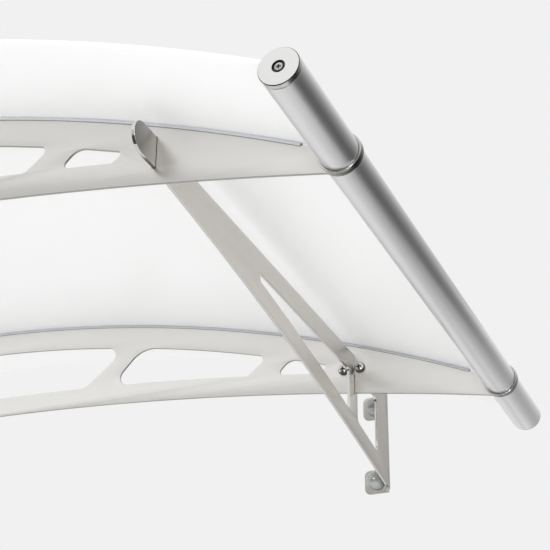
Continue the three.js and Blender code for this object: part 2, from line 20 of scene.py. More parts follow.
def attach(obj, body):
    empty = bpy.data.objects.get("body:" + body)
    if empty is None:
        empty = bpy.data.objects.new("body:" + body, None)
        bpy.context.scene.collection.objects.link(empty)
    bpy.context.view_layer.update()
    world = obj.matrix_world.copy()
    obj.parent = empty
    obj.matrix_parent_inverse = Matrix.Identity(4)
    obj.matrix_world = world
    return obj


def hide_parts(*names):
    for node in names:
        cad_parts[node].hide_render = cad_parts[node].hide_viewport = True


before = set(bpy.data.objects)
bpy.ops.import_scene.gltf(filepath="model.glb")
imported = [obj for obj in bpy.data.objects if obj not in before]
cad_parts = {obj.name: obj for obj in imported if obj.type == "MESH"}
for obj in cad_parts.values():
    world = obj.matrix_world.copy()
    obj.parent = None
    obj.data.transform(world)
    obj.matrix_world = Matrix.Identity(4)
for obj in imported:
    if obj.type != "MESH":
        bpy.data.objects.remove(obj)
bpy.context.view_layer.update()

MM = 0.001

# %% [markdown]
# The real canopy is laid out with arcs. The top edge of a beam is an arc through the axes of the two
# tubes, its lower edge is a flatter arc that runs into the collars, and the roof sheet follows the top
# arc at a constant distance. All sizes are in millimetres here and become metres in the meshes.

# %% Sizes in millimetres
HALF_SPAN = 978.8  # from the middle to a tube's axis
DEPTH = 900.0  # from the wall to the tubes' front ends
ARCH_RISE = 220.5  # crown of the top arc above the tubes' axes
LOWER_RISE = 72.0  # crown of the lower arc
FIT = 0.3  # clearance where one piece slides into another
JOINT = 0.5  # clearance where two plates pass through each other
TUBE_RADIUS = 21.2
BORE_RADIUS = 18.7
BEAM_THICKNESS = 3.0
FRONT_FACE = -751.5
REAR_FACE = -144.0
COLLAR_BORE = TUBE_RADIUS + FIT
COLLAR_OUTER = COLLAR_BORE + 2.2
SHEET_START = 2.8  # underside of the sheet above the beams' top arc
SHEET_THICKNESS = 5.0
PLATE = 4.0
PLATE_INNER = HALF_SPAN - 209.9 - PLATE
PLATE_OUTER = PLATE_INNER + PLATE
PLATE_MIDDLE = PLATE_INNER + PLATE / 2
BOLT_X = PLATE_INNER - 15.0
TAB_LEVELS = {"upper": 46.7, "lower": -70.2}
ARM_TOP = 72.2
NOSE_BOTTOM = 33.5
LAP = 42.0  # height at which a rear notch and the bracket's slot meet

TOP_RADIUS = (HALF_SPAN**2 + ARCH_RISE**2) / (2 * ARCH_RISE)
LOWER_RADIUS = (HALF_SPAN**2 + LOWER_RISE**2 - COLLAR_OUTER**2) / (2 * (LOWER_RISE + COLLAR_OUTER))


def top_arc(x, offset=0.0):
    """Height of the beams' top arc: crown minus radius, plus the root of radius squared less x squared."""
    radius = TOP_RADIUS + offset
    return ARCH_RISE - TOP_RADIUS + np.sqrt(radius**2 - np.asarray(x, float) ** 2)


def lower_arc(x, offset=0.0):
    """Height of the beams' lower arc, by the same formula with its own crown and radius."""
    radius = LOWER_RADIUS + offset
    return LOWER_RISE - LOWER_RADIUS + np.sqrt(radius**2 - np.asarray(x, float) ** 2)


print("arc radii:", round(TOP_RADIUS), round(LOWER_RADIUS), "mm")

# %% [markdown]
# ## Tools for surfaces
#
# Every new piece is worked out as arrays of points. Three kinds of surface are enough for sheet-metal
# work: a profile carried along a path, a profile turned round an axis, and a flat plate with cut-outs
# and softened edges. Each helper returns a shell: its points, its faces and which faces are flat.

# %% Shells and how they become objects
def shell(points, faces, flat=None):
    """A shell: points as an (n, 3) array, faces as lists of indices, and a flag for each flat face."""
    return np.asarray(points, float).reshape(-1, 3), list(faces), list(flat or [False] * len(faces))


def joined(*shells):
    """Puts shells side by side in one list of points, with the face numbers shifted to match."""
    points, faces, flat, start = [], [], [], 0
    for p, f, s in shells:
        points.append(p)
        faces += [[i + start for i in face] for face in f]
        flat += s
        start += len(p)
    return np.vstack(points), faces, flat


def mirrored(s):
    """The mirror image in the plane x = 0: x changes sign, and each face is read backwards."""
    return s[0] * [-1, 1, 1], [face[::-1] for face in s[1]], s[2]


def moved(s, x=0.0, y=0.0, z=0.0):
    """The shell shifted along the axes."""
    return s[0] + [x, y, z], s[1], s[2]


def signed_volume(points, faces):
    """Sum of the signed volumes of the tetrahedra between the origin and each triangle of each face."""
    total = 0.0
    for face in faces:
        fan = points[face[1:]]
        total += (np.cross(fan[:-1], fan[1:]) @ points[face[0]]).sum()
    return total / 6


def outward(s):
    """Turns a closed shell so that its faces point outwards."""
    if signed_volume(s[0], s[1]) < 0:
        return s[0], [face[::-1] for face in s[1]], s[2]
    return s


def new_object(name, data):
    """An object for some data, linked into the scene."""
    obj = bpy.data.objects.new(name, data)
    bpy.context.scene.collection.objects.link(obj)
    return obj


def piece(name, s, material, slot, *nodes, sharp=38.0):
    """Makes the object, smooths it except at sharp edges, and hangs it on the frame."""
    mesh = bpy.data.meshes.new(name)
    mesh.from_pydata((s[0] * MM).tolist(), [], s[1])
    mesh.polygons.foreach_set("use_smooth", [not f for f in s[2]])
    mesh.set_sharp_from_angle(angle=math.radians(sharp))
    mesh.materials.append(material)
    mesh.update()
    obj = new_object(name, mesh)
    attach(obj, "root")
    if nodes:
        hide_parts(*nodes)
    print(name, len(mesh.polygons), "faces,", round(signed_volume(s[0], s[1]) / 1000, 1), "cm3")
    return obj


def add_finishes(obj, chosen):
    """Gives further materials to some faces: chosen maps a material to a true-or-false array over faces."""
    index = np.zeros(len(obj.data.polygons), int)
    for number, (material, faces) in enumerate(chosen.items(), start=1):
        obj.data.materials.append(material)
        index[faces] = number
    obj.data.polygons.foreach_set("material_index", index)


# %% [markdown]
# A sheet, a seal, a tube and a collar are all one profile carried along a path. The grid has one row of
# points for each place along the path, so the faces between rows follow by counting.

# %% A closed profile carried along a path
def grid_faces(rows, columns, closed_path=False):
    """Faces between neighbouring rows of points, where each row is a closed loop, as an (n, 4) array."""
    i = np.arange(rows if closed_path else rows - 1)[:, None]
    j = np.arange(columns)[None, :]
    k, after = (j + 1) % columns, (i + 1) % rows
    corners = [i * columns + j, i * columns + k, after * columns + k, after * columns + j]
    return np.stack(corners, -1).reshape(-1, 4)


def grid_points(x, y, z):
    """Points from three arrays that share one grid."""
    return np.stack(np.broadcast_arrays(x, y, z), -1)


def swept(rows, closed_path=False):
    """Surface P(i, j): point j of a closed profile at place i of the path, with flat faces at open ends."""
    rows = np.asarray(rows, float)
    n, m = rows.shape[:2]
    faces = grid_faces(n, m, closed_path).tolist()
    flat = [False] * len(faces)
    if not closed_path:
        faces += [list(range(m))[::-1], list(range((n - 1) * m, n * m))]
        flat += [True, True]
    return outward(shell(rows.reshape(-1, 3), faces, flat))


def soft_box(u0, u1, v0, v1, radius):
    """Rectangle with rounded corners, as (u, v) points in order round its edge."""
    quarter = np.radians([0, 30, 60, 90])
    centres = [(u1 - radius, v1 - radius), (u0 + radius, v1 - radius),
               (u0 + radius, v0 + radius), (u1 - radius, v0 + radius)]
    corners = [np.c_[cu + radius * np.cos(quarter + k * math.pi / 2),
                     cv + radius * np.sin(quarter + k * math.pi / 2)]
               for k, (cu, cv) in enumerate(centres)]
    return np.vstack(corners)


def along_arch(profile, end_x, steps):
    """Carries (y, offset) points along the beams' top arc: each offset is measured square to the arc."""
    end = math.asin(end_x / TOP_RADIUS)
    angle = np.linspace(-end, end, steps)[:, None]
    y, offset = profile[:, 0], profile[:, 1]
    x = (TOP_RADIUS + offset) * np.sin(angle)
    return grid_points(x, y, ARCH_RISE - TOP_RADIUS + (TOP_RADIUS + offset) * np.cos(angle))


def carried(section, ys):
    """The same (x, z) section placed at each y."""
    return [np.c_[section[:, 0], np.full(len(section), y), section[:, 1]] for y in ys]


def round_ring(profile, from_degrees=0.0, to_degrees=360.0, steps=96):
    """Turns (radius, y) points round the Y axis, all the way or between two angles measured from +X."""
    closed = to_degrees - from_degrees == 360
    angle = np.radians(np.linspace(from_degrees, to_degrees, steps, endpoint=not closed))[:, None]
    radius, y = profile[:, 0], profile[:, 1]
    return swept(grid_points(radius * np.cos(angle), y, radius * np.sin(angle)), closed_path=closed)


def between_poles(rings, first, last):
    """Closes a stack of rings round the Y axis by a fan at each end, to poles at y = first and last."""
    n, m = rings.shape[:2]
    start = (n - 1) * m
    neighbours = [(j, (j + 1) % m) for j in range(m)]
    faces = grid_faces(n, m).tolist()
    faces += [[n * m, b, a] for a, b in neighbours]
    faces += [[n * m + 1, start + a, start + b] for a, b in neighbours]
    return outward(shell(np.vstack([rings.reshape(-1, 3), [0, first, 0], [0, last, 0]]), faces))


def turned(profile, steps=96):
    """Solid of revolution: an open (radius, y) profile from axis to axis, turned round the Y axis."""
    angle = np.linspace(0, 2 * math.pi, steps, endpoint=False)
    radius, y = np.array(profile[1:-1], float).T[:, :, None]
    rings = grid_points(radius * np.cos(angle), y, radius * np.sin(angle))
    return between_poles(rings, profile[0][1], profile[-1][1])


def both_sides(s):
    """The shell on the right-hand side and its mirror image on the left, each with its side's name."""
    return ("right", s), ("left", mirrored(s))


print("points round a soft rectangle:", len(soft_box(0, 10, 0, 10, 1)))

# %% [markdown]
# Beams and brackets are cut from flat plate by laser. A cut edge is never knife-sharp: it catches a thin
# line of light. So the plate's faces are drawn slightly inside the outline, and a small quarter-round is
# carried along every outline and every cut-out.

# %% Outlines with rounded corners and plates with softened edges
def rounded(corners, spacing=2.0):
    """Closed outline through (u, v, radius) corners; one with a radius becomes an arc of short steps."""
    corners = [(np.array(c[:2], float), float(c[2])) for c in corners]
    out = []
    for k, (p, radius) in enumerate(corners):
        if radius == 0:
            out.append(p)
            continue
        back = corners[k - 1][0] - p
        ahead = corners[(k + 1) % len(corners)][0] - p
        back, ahead = back / np.linalg.norm(back), ahead / np.linalg.norm(ahead)
        half = math.acos(float(back @ ahead)) / 2
        middle = (back + ahead) / np.linalg.norm(back + ahead)
        centre = p + middle * radius / math.sin(half)
        start = p + back * radius / math.tan(half) - centre
        end = p + ahead * radius / math.tan(half) - centre
        a0, a1 = math.atan2(start[1], start[0]), math.atan2(end[1], end[0])
        turn = (a1 - a0 + math.pi) % (2 * math.pi) - math.pi
        steps = max(6, int(abs(turn) * radius / spacing) + 2)
        angle = a0 + turn * np.linspace(0, 1, steps)
        out.extend(centre + radius * np.c_[np.cos(angle), np.sin(angle)])
    return np.array(out)


def tidy_loop(points):
    """The outline without points that lie on top of the one before."""
    gap = np.linalg.norm(points - np.roll(points, 1, axis=0), axis=1)
    return points[gap > 0.02]


def loop_area(points):
    """Shoelace formula: half the sum of cross products of neighbours."""
    q = np.roll(points, -1, axis=0)
    return float((points[:, 0] * q[:, 1] - q[:, 0] * points[:, 1]).sum() / 2)


def inset(points, distance):
    """Moves each point of a loop to its left by a distance, along the mitre of its two edges."""
    edge = np.roll(points, -1, axis=0) - points
    edge /= np.linalg.norm(edge, axis=1)[:, None]
    left = np.c_[-edge[:, 1], edge[:, 0]]
    mitre = left + np.roll(left, 1, axis=0)
    mitre /= np.linalg.norm(mitre, axis=1)[:, None]
    reach = distance / np.clip((mitre * left).sum(1), 0.35, None)
    return points + mitre * reach[:, None]


def cut_plate(outline, holes, thickness, edge=0.35):
    """Plate in (u, v) with its thickness along w; a quarter-round of radius edge follows every loop."""
    loops = [tidy_loop(np.asarray(loop, float)) for loop in [outline, *holes]]
    loops = [loop if (loop_area(loop) > 0) == (k == 0) else loop[::-1] for k, loop in enumerate(loops)]
    turn = np.radians([0, 30, 60, 90])
    inward = edge * (1 - np.sin(turn))
    depth = edge * (1 - np.cos(turn))
    insets = np.r_[inward, inward[::-1]]
    depths = np.r_[depth, (thickness - depth)[::-1]]
    rows = len(insets)
    points, faces, rims, start, front_index, back_index = [], [], [], 0, [], []
    for loop in loops:
        m = len(loop)
        rims.append(inset(loop, insets[0]))
        points += [np.c_[inset(loop, d), np.full(m, w)] for d, w in zip(insets, depths)]
        faces += (grid_faces(rows, m) + start).tolist()
        front_index += range(start, start + m)
        back_index += range(start + (rows - 1) * m, start + rows * m)
        start += rows * m
    points = np.vstack(points)
    flat = [False] * len(faces)
    triangles = np.array(tessellate_polygon([[Vector((u, v, 0)) for u, v in rim] for rim in rims]))
    corner = np.vstack(rims)[triangles]
    ahead, across = corner[:, 1] - corner[:, 0], corner[:, 2] - corner[:, 0]
    turned_right = ahead[:, 0] * across[:, 1] - ahead[:, 1] * across[:, 0] < 0
    triangles[turned_right] = triangles[turned_right][:, ::-1]
    faces += np.array(front_index)[triangles[:, ::-1]].tolist()
    faces += np.array(back_index)[triangles].tolist()
    flat += [True] * (2 * len(triangles))
    return shell(points, faces, flat)


def across_wall(s, y0):
    """Lays a plate's (u, v, w) on the axes as u = x, v = z and w = y, starting at y0."""
    return outward((np.c_[s[0][:, 0], s[0][:, 2] + y0, s[0][:, 1]], s[1], s[2]))


def along_wall(s, x0):
    """Lays a plate's (u, v, w) on the axes as u = y, v = z and w = x, starting at x0."""
    return outward((np.c_[s[0][:, 2] + x0, s[0][:, 0], s[0][:, 1]], s[1], s[2]))


sample = rounded([(0, 0, 1), (10, 0, 1), (10, 10, 1), (0, 10, 1)])
print("a 10 mm square with 1 mm corners:", round(loop_area(sample), 2), "mm2")

# %% [markdown]
# ## Finishes
#
# The canopy is made of brushed stainless plate, satin anodised tube, polished rings and screws, frosted
# acrylic, rubber and plastic. All finishes are built from nodes on Object coordinates. Brushing is noise
# drawn out a hundredfold along one axis, so it reads as fine parallel scratches.

# %% Node helpers
def new_material(name):
    """A node material, its tree and its Principled shader, ready for more nodes."""
    material = bpy.data.materials.new(name)
    material.use_nodes = True
    tree = material.node_tree
    shader = next(n for n in tree.nodes if n.type == "BSDF_PRINCIPLED")
    return material, tree, shader


def stretched_noise(tree, scale, stretch, detail=6.0):
    """Noise in Object coordinates, scaled per axis: a small number draws the grain out along that axis."""
    where = tree.nodes.new("ShaderNodeTexCoord")
    mapping = tree.nodes.new("ShaderNodeMapping")
    mapping.inputs["Scale"].default_value = stretch
    noise = tree.nodes.new("ShaderNodeTexNoise")
    noise.inputs["Scale"].default_value = scale
    noise.inputs["Detail"].default_value = detail
    noise.inputs["Roughness"].default_value = 0.6
    tree.links.new(where.outputs["Object"], mapping.inputs["Vector"])
    tree.links.new(mapping.outputs["Vector"], noise.inputs["Vector"])
    return noise.outputs["Fac"]


def ranged(tree, value, low, high, start=0.3, stop=0.7):
    """Maps a value between start and stop onto the range low to high."""
    node = tree.nodes.new("ShaderNodeMapRange")
    node.inputs["From Min"].default_value = start
    node.inputs["From Max"].default_value = stop
    node.inputs["To Min"].default_value = low
    node.inputs["To Max"].default_value = high
    tree.links.new(value, node.inputs["Value"])
    return node.outputs["Result"]


def shaded(tree, value, dark, light):
    """A colour ramp from a dark to a light tone."""
    node = tree.nodes.new("ShaderNodeMix")
    node.data_type = "RGBA"
    node.inputs["A"].default_value = (*dark, 1)
    node.inputs["B"].default_value = (*light, 1)
    tree.links.new(value, node.inputs["Factor"])
    return node.outputs["Result"]


def bumped(tree, shader, value, strength, distance):
    """Feeds a height into the shader's normal as a bump."""
    node = tree.nodes.new("ShaderNodeBump")
    node.inputs["Strength"].default_value = strength
    node.inputs["Distance"].default_value = distance
    tree.links.new(value, node.inputs["Height"])
    tree.links.new(node.outputs["Normal"], shader.inputs["Normal"])


print("node helpers ready")

# %% [markdown]
# Brushed plate has two scales: the scratches themselves, and a slow cloudiness where the belt pressed
# harder. Both change the tone and the roughness only a little, or the plate would look like wood.
#
# The rear beam looks lighter than the front one, and the bracket's nose darker than its arm, because
# each mirrors another part of the room. That is painted reflection in the base colours: the rear beam and
# the bracket get a lighter and a darker copy of the front beam's steel, and the nose's tone falls to 36 %
# of the arm's.

# %% Metals
def brushed_metal(name, tone, spread, rough_low, rough_high, stretch, scale=1500.0, bump=0.03,
                  metallic=1.0):
    """Metal with scratches drawn out along one axis, over faint clouds; spread is the tone's range."""
    material, tree, shader = new_material(name)
    scratches = stretched_noise(tree, scale, stretch)
    clouds = stretched_noise(tree, 6.0, (1, 1, 1), detail=2.0)
    blend = tree.nodes.new("ShaderNodeMath")
    blend.operation = "MULTIPLY_ADD"
    blend.inputs[1].default_value = 0.5
    tree.links.new(clouds, blend.inputs[0])
    tree.links.new(ranged(tree, scratches, 0.0, 0.5), blend.inputs[2])
    value = ranged(tree, blend.outputs["Value"], 0, 1, 0.15, 0.85)
    dark = tuple(channel - spread for channel in tone)
    light = tuple(channel + spread for channel in tone)
    tree.links.new(shaded(tree, value, dark, light), shader.inputs["Base Color"])
    tree.links.new(ranged(tree, value, rough_low, rough_high, 0, 1), shader.inputs["Roughness"])
    shader.inputs["Metallic"].default_value = metallic
    bumped(tree, shader, scratches, bump, 0.0001)
    return material


def painted_reflection_dark_end(material, axis, from_metres, to_metres, share):
    """For painted reflection: multiplies the tone by a share at one end of an axis, easing to the full tone
    between two places.
    """
    tree = material.node_tree
    shader = next(n for n in tree.nodes if n.type == "BSDF_PRINCIPLED")
    tone = shader.inputs["Base Color"].links[0].from_socket
    where = tree.nodes.new("ShaderNodeTexCoord")
    split = tree.nodes.new("ShaderNodeSeparateXYZ")
    tree.links.new(where.outputs["Object"], split.inputs["Vector"])
    factor = ranged(tree, split.outputs[axis], share, 1.0, from_metres, to_metres)
    scaled = tree.nodes.new("ShaderNodeVectorMath")
    scaled.operation = "SCALE"
    tree.links.new(tone, scaled.inputs["Vector"])
    tree.links.new(factor, scaled.inputs["Scale"])
    tree.links.new(scaled.outputs["Vector"], shader.inputs["Base Color"])


ALONG_X, ALONG_Y = (0.01, 1, 1), (1, 0.01, 1)
EVEN = {"stretch": (1, 1, 1), "scale": 300.0}
BRUSHED_FRONT = brushed_metal("brushed_front_beam", (0.79, 0.775, 0.75), 0.015, 0.3, 0.38, ALONG_X)
# Painted reflection: the rear beam's steel is a lighter copy of the front beam's.
BRUSHED_REAR_PAINTED_REFLECTION = brushed_metal("brushed_rear_beam_painted_reflection", (0.88, 0.87, 0.85), 0.015, 0.3, 0.38, ALONG_X)
# Painted reflection: the bracket's steel is a darker copy, and darker still towards the nose, down to 36 %.
BRUSHED_BRACKET_PAINTED_REFLECTION = brushed_metal("brushed_bracket_painted_reflection", (0.62, 0.595, 0.56), 0.015, 0.28, 0.36, ALONG_Y)
painted_reflection_dark_end(BRUSHED_BRACKET_PAINTED_REFLECTION, "Y", from_metres=-0.8, to_metres=-0.74, share=0.36)
BRUSHED_CAP = brushed_metal("brushed_cap", (0.93, 0.925, 0.915), 0.012, 0.3, 0.36, ALONG_X, metallic=0.7)
SATIN_TUBE = brushed_metal("satin_tube", (0.925, 0.925, 0.935), 0.008, 0.31, 0.35, ALONG_Y, bump=0.004)
POLISHED = brushed_metal("polished_metal", (0.75, 0.74, 0.72), 0.02, 0.08, 0.14, bump=0.01, **EVEN)
# Painted reflection: the rings' outer band is a dark copy of the polished metal.
RING_BAND_PAINTED_REFLECTION = brushed_metal("ring_band_painted_reflection", (0.32, 0.31, 0.29), 0.02, 0.1, 0.16, **EVEN)
# Painted shade: the beams' cut edges are darkened along every outline and slot.
CUT_EDGE_PAINTED_SHADE = brushed_metal("cut_edge_painted_shade", (0.5, 0.48, 0.45), 0.02, 0.3, 0.4, **EVEN)
# Painted shade: thin dark lines round the cap's chamfers.
DARK_LINE_PAINTED_SHADE = brushed_metal("painted_shade_line", (0.22, 0.22, 0.22), 0.02, 0.15, 0.2, **EVEN)
# Painted shade: near black for recesses and screw rims.
PAINTED_SHADE_BLACK = brushed_metal("painted_shade_black_metal", (0.12, 0.12, 0.12), 0.02, 0.3, 0.4, **EVEN)
print("metals ready")

# %% [markdown]
# The roof sheet is opal acrylic: light enters it, scatters inside its five millimetres and leaves on the
# other side, so the sheet glows when it is lit from above. Subsurface scattering does just that. The
# surface itself is finely frosted.

# %% Acrylic, rubber and plastic
def soft_finish(name, dark, light, rough_low, rough_high, scale, bump, distance):
    """Non-metal with a fine even grain in tone, roughness and height: the material and its shader."""
    material, tree, shader = new_material(name)
    grain = stretched_noise(tree, scale, (1, 1, 1))
    tree.links.new(shaded(tree, ranged(tree, grain, 0, 1), dark, light), shader.inputs["Base Color"])
    tree.links.new(ranged(tree, grain, rough_low, rough_high), shader.inputs["Roughness"])
    bumped(tree, shader, grain, bump, distance)
    return material, shader


FROSTED, frosted_shader = soft_finish(
    "frosted_acrylic", (0.95, 0.953, 0.96), (0.965, 0.968, 0.975), 0.3, 0.4, 700.0, 0.05, 0.0001)
frosted_shader.inputs["Subsurface Weight"].default_value = 1.0
frosted_shader.inputs["Subsurface Radius"].default_value = (1.0, 1.0, 1.0)
frosted_shader.inputs["Subsurface Scale"].default_value = 0.02
RUBBER, _ = soft_finish(
    "grey_rubber", (0.6, 0.62, 0.65), (0.64, 0.66, 0.69), 0.3, 0.4, 500.0, 0.05, 0.0002)
# Painted shade: a darker tone of the same rubber, for the lips.
RUBBER_PAINTED_SHADE, _ = soft_finish(
    "rubber_painted_shade", (0.2, 0.21, 0.22), (0.24, 0.25, 0.26), 0.4, 0.5, 500.0, 0.05, 0.0002)
GREY_PLASTIC, plastic_shader = soft_finish(
    "grey_plastic", (0.41, 0.43, 0.42), (0.47, 0.49, 0.48), 0.12, 0.18, 260.0, 0.03, 0.0001)
plastic_shader.inputs["Metallic"].default_value = 0.4
print("soft finishes ready")

# %% [markdown]
# ## The roof sheet
#
# The sheet is bent cold over the beams and its long edges slip into slits in the tubes. It is one
# profile, a soft-edged rectangle as deep as the canopy, carried along the beams' top arc.

# %% Roof sheet
SHEET_IN_TUBE = 12.0
SHEET_FRONT, SHEET_BACK, SHEET_EDGE = -DEPTH + 0.5, -2.5, 0.6
SHEET_END = HALF_SPAN - TUBE_RADIUS + SHEET_IN_TUBE
sheet_profile = soft_box(SHEET_FRONT, SHEET_BACK, SHEET_START, SHEET_START + SHEET_THICKNESS, SHEET_EDGE)
roof = swept(along_arch(sheet_profile, SHEET_END, 161))
piece("roof_sheet", roof, FROSTED, "frosted_sheet", "acrylic_sheet")

# %% [markdown]
# ## The cross beams
#
# Each beam is one plate: two arcs, a row of slanted slots between them, and a ring at each end that
# grips a tube. A slot is given by four corners with their own radii, so the straight slanted sides and
# the tight and wide corners come out as on the real plate.

# %% Slots of a beam
SLOT_TOP_MARGIN = 36.0
SLOT_LOWER_MARGIN = 30.5
# near end and far end of each slot: distance of its lower and upper corner from the tube's axis, then the
# radius of its sharp and of its wide corner
SLOTS = [
    ((HALF_SPAN - 20, HALF_SPAN - 20, 16, 16), (659.3, 586.8, 14.4, 23)),
    ((611.8, 560.3, 14, 45), (377.8, 345.8, 7, 11)),
    ((331.8, 310.8, 5.5, 20), (264.8, 249.8, 4, 5)),
]


def slot_outline(near, far, side):
    """Slot between two slanted ends, whose upper and lower margins follow the beam's arcs."""
    share = np.arange(3, 11) / 13

    def edge(a, b, height, offset):
        xs = a + (b - a) * share
        return [(x, float(height(x, offset)), 0) for x in xs]

    nl, nu, fl, fu = (HALF_SPAN - v for v in (*near[:2], *far[:2]))
    (near_sharp, near_wide), (far_sharp, far_wide) = near[2:], far[2:]
    low, up = SLOT_LOWER_MARGIN, -SLOT_TOP_MARGIN
    corners = [(nl, float(lower_arc(nl, low)), near_sharp), *edge(nl, fl, lower_arc, low),
               (fl, float(lower_arc(fl, low)), far_wide), (fu, float(top_arc(fu, up)), far_sharp),
               *edge(fu, nu, top_arc, up), (nu, float(top_arc(nu, up)), near_wide)]
    return rounded([(side * u, v, r) for u, v, r in corners])


print("slots in each beam:", 2 * len(SLOTS))

# %% [markdown]
# The plate ends inside the wall of the ring, so its outline follows a circle just outside the bore, from
# the point where the top arc meets it round to the point where the lower arc touches the ring.

# %% Outline of a beam
PLATE_IN_RING = 0.7  # how far outside the bore the plate ends


def beam_outline(notched):
    """Lower arc, circle inside the right ring, top arc, circle inside the left ring."""
    grip = COLLAR_BORE + PLATE_IN_RING
    xs = np.linspace(0, HALF_SPAN, 4001)
    reach = np.hypot(xs - HALF_SPAN, top_arc(xs, 0.0))
    top_x = xs[reach > grip].max()
    low_x = HALF_SPAN * LOWER_RADIUS / (LOWER_RADIUS + COLLAR_OUTER)
    a0 = math.atan2(float(top_arc(top_x)), top_x - HALF_SPAN)
    a1 = math.atan2(float(lower_arc(low_x)), low_x - HALF_SPAN) % (2 * math.pi)
    turn = np.linspace(a1, a0, 18)
    ring = np.c_[HALF_SPAN + grip * np.cos(turn), grip * np.sin(turn)]
    xs = np.linspace(-low_x, low_x, 150)
    bottom = np.c_[xs, lower_arc(xs)]
    if notched:
        half = PLATE / 2 + JOINT
        for middle in (-PLATE_MIDDLE, PLATE_MIDDLE):
            x = np.array([middle - half, middle + half])
            foot = np.c_[x, lower_arc(x)]
            notch = [foot[0], [x[0], LAP], [x[1], LAP], foot[1]]
            before, after = bottom[bottom[:, 0] < x[0] - 1], bottom[bottom[:, 0] > x[1] + 1]
            bottom = np.vstack([before, notch, after])
    xs = np.linspace(top_x, -top_x, 150)[1:-1]
    top = np.c_[xs, top_arc(xs)]
    return np.vstack([bottom, ring, top, ring[::-1] * [-1, 1]])


RING_GAP = (131.0, 149.9)  # degrees from +X, where the sheet passes
RING_WIDTH, RING_AHEAD, RING_EDGE = 9.0, 1.0, 0.7


def ring_collar(y0):
    """Open ring round the tube: a soft-cornered section turned from one side of the sheet to the other."""
    section = soft_box(COLLAR_BORE, COLLAR_OUTER, y0, y0 + RING_WIDTH, RING_EDGE)
    return moved(round_ring(section, RING_GAP[1], RING_GAP[0] + 360, 90), x=HALF_SPAN)


def nose_cut(side):
    """Upright opening for the bracket's plate, a little larger than the plate."""
    x0, x1 = PLATE_INNER - JOINT, PLATE_OUTER + JOINT
    z0, z1 = NOSE_BOTTOM - JOINT, ARM_TOP + JOINT
    return np.array([(x0, z0), (x1, z0), (x1, z1), (x0, z1)]) * [side, 1]


def cross_beam(face):
    """The plate of one beam and its right-hand ring; face is the y of the plate's front face."""
    holes = [slot_outline(near, far, side) for near, far in SLOTS for side in (1, -1)]
    if face == FRONT_FACE:
        holes += [nose_cut(1), nose_cut(-1)]
    outline = beam_outline(notched=face == REAR_FACE)
    return across_wall(cut_plate(outline, holes, BEAM_THICKNESS), face), ring_collar(face - RING_AHEAD)


RING_POINTS = len(soft_box(0, 10, 0, 10, 1))  # the last face round a ring's section is its outside
for name, node, face, finish in (("front_crossbeam", "front_beam", FRONT_FACE, BRUSHED_FRONT),
                                 ("rear_crossbeam", "rear_beam", REAR_FACE, BRUSHED_REAR_PAINTED_REFLECTION)):
    plate, ring = cross_beam(face)
    whole = joined(plate, ring, mirrored(ring))
    obj = piece(name, whole, finish, "brushed_steel", node)
    number, flat = np.arange(len(whole[1])), np.array(whole[2])
    in_plate = number < len(plate[1])
    around = (number - len(plate[1])) % len(ring[1]) % RING_POINTS
    in_band = ~in_plate & (around == RING_POINTS - 1) & ~flat
    # Painted shade on the beams' cut edges, and a painted dark reflection on the rings' outer band.
    add_finishes(obj, {POLISHED: ~in_plate & ~in_band, RING_BAND_PAINTED_REFLECTION: in_band, CUT_EDGE_PAINTED_SHADE: in_plate & ~flat})

# %% [markdown]
# ## Rubber strips
#
# A strip of U-shaped rubber grips the top edge of each beam and cushions the sheet. Its section is drawn
# once, with small rounded lips, and carried along the arc between the two tubes. The lips lie in their
# own shade, so their faces get painted shade: a darker tone of the same rubber.

# %% Rubber strips
def u_section(face):
    """U section in (y, offset): crown 2.5 above the beam's edge, round lips 1.8 down each side of it."""
    turn = np.radians(np.linspace(0, 90, 6))
    shoulder = np.c_[1.9 * np.cos(turn), 0.6 + 1.9 * np.sin(turn)]
    bead = np.array([[1.8, -0.2], [1.55, -0.8], [1.1, -1.4], [0.7, -1.7], [0.42, -1.8]])
    back = np.vstack([bead[::-1], shoulder]) + [BEAM_THICKNESS - 0.4, 0]
    front = np.vstack([shoulder[::-1], bead]) * [-1, 1] + [0.4, 0]
    groove = np.array([[-0.02, 0.25], [BEAM_THICKNESS + 0.02, 0.25]])
    return np.vstack([back, front, groove]) + [face, 0]


STRIP_END = HALF_SPAN - 42.0
# The lips get painted shade.
LIPS = (0, 1, 2, 19, 20, 21)  # places round the section
for name, node, face in (("front_seal_strip", "front_seal", FRONT_FACE),
                         ("rear_seal_strip", "rear_seal", REAR_FACE)):
    strip = swept(along_arch(u_section(face), STRIP_END, 151))
    obj = piece(name, strip, RUBBER, "rubber", node, sharp=50)
    row = np.arange(len(obj.data.polygons)) % len(u_section(face))
    add_finishes(obj, {RUBBER_PAINTED_SHADE: np.isin(row, LIPS)})

# %% [markdown]
# ## The brackets
#
# A bracket is a flat plate standing square to the wall: a straight arm along the top, a curved rib below
# it, a leg on the wall and an upright strip at the rear beam. Its rounded nose passes through the front
# beam. The outline and the two openings use the same rounded corners as the slots.

# %% Bracket outline
UNDER_ARM = ARM_TOP - 28.9
NOSE_TIP = FRONT_FACE - 48.8
FOOT = -83.4
RIB_WIDTH = 27.3
GAP_TIP = 11.9
STRIP_FRONT = REAR_FACE - 20.5
STRIP_BACK = STRIP_FRONT + 31.0
LEG_WIDTH = 50.0


def bulged_arc(p, q, bulge):
    """Centre and radius of the circle through p and q whose middle lies bulge above their chord."""
    chord = math.hypot(q[0] - p[0], q[1] - p[1])
    radius = (chord**2 / 4 + bulge**2) / (2 * bulge)
    fall = radius - bulge
    ux, uy = (q[0] - p[0]) / chord, (q[1] - p[1]) / chord
    return ((p[0] + q[0]) / 2 + uy * fall, (p[1] + q[1]) / 2 - ux * fall), radius


RIB_START = FRONT_FACE + BEAM_THICKNESS
RIB_CENTRE, RIB_RADIUS = bulged_arc((RIB_START, NOSE_BOTTOM), (0.0, FOOT), 14.0)


